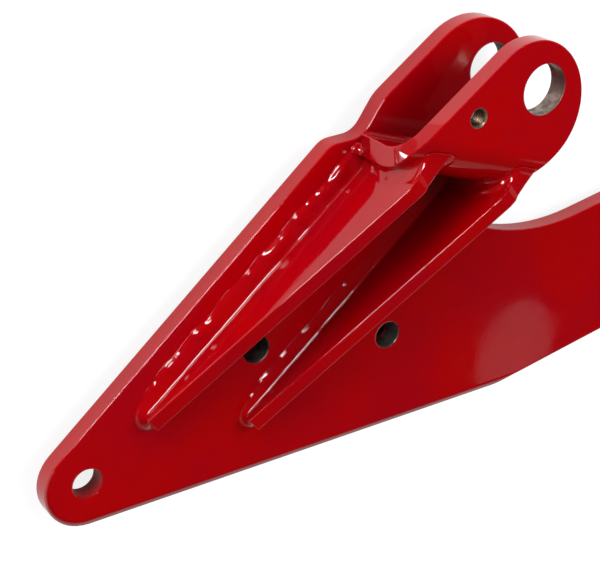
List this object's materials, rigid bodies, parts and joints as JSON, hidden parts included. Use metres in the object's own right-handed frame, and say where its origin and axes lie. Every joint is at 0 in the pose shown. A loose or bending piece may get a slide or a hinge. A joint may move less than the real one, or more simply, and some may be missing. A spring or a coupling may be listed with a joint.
{
  "type": "top link",
  "caption": "Welded steel link: a tapered plate with a pin hole at its tip, a forked pin eye braced by sloping gussets, and a curved arm that ends in a round eye.",
  "frame": {"origin": "centre of the clevis pin bore, half way between the ears", "axes": "+Z along the clevis pin, out of the ear that carries the tapped hole; +X from the tip hole to the clevis; the arm curves towards -Y"},
  "size_m": [0.5454, 0.3466, 0.073],
  "materials": {
    "plate_paint": "gloss",
    "strap_paint": "gloss",
    "gusset_paint": "gloss",
    "weld_paint": "gloss",
    "nut_paint": "gloss",
    "bare_steel": "worn"
  },
  "bodies": {
    "root": {"main_plate": "plate_paint", "front_ear": "strap_paint", "upper_gusset": "gusset_paint", "lower_gusset": "gusset_paint", "upper_gusset_outer_weld": "weld_paint", "upper_gusset_inner_weld": "weld_paint", "lower_gusset_inner_weld": "weld_paint", "lower_gusset_outer_weld": "weld_paint", "upper_gusset_toe_weld": "weld_paint", "lower_gusset_toe_weld": "weld_paint", "ear_foot_outer_weld": "weld_paint", "upper_gusset_ear_outer_weld": "weld_paint", "upper_gusset_ear_inner_weld": "weld_paint", "lower_gusset_ear_weld": "weld_paint", "weld_nut_a": "nut_paint", "weld_nut_b": "nut_paint", "ear_foot_inner_weld": "weld_paint", "ear_end_weld": "weld_paint", "weld_nut_a_weld": "weld_paint", "weld_nut_b_weld": "weld_paint"}
  },
  "joints": []
}
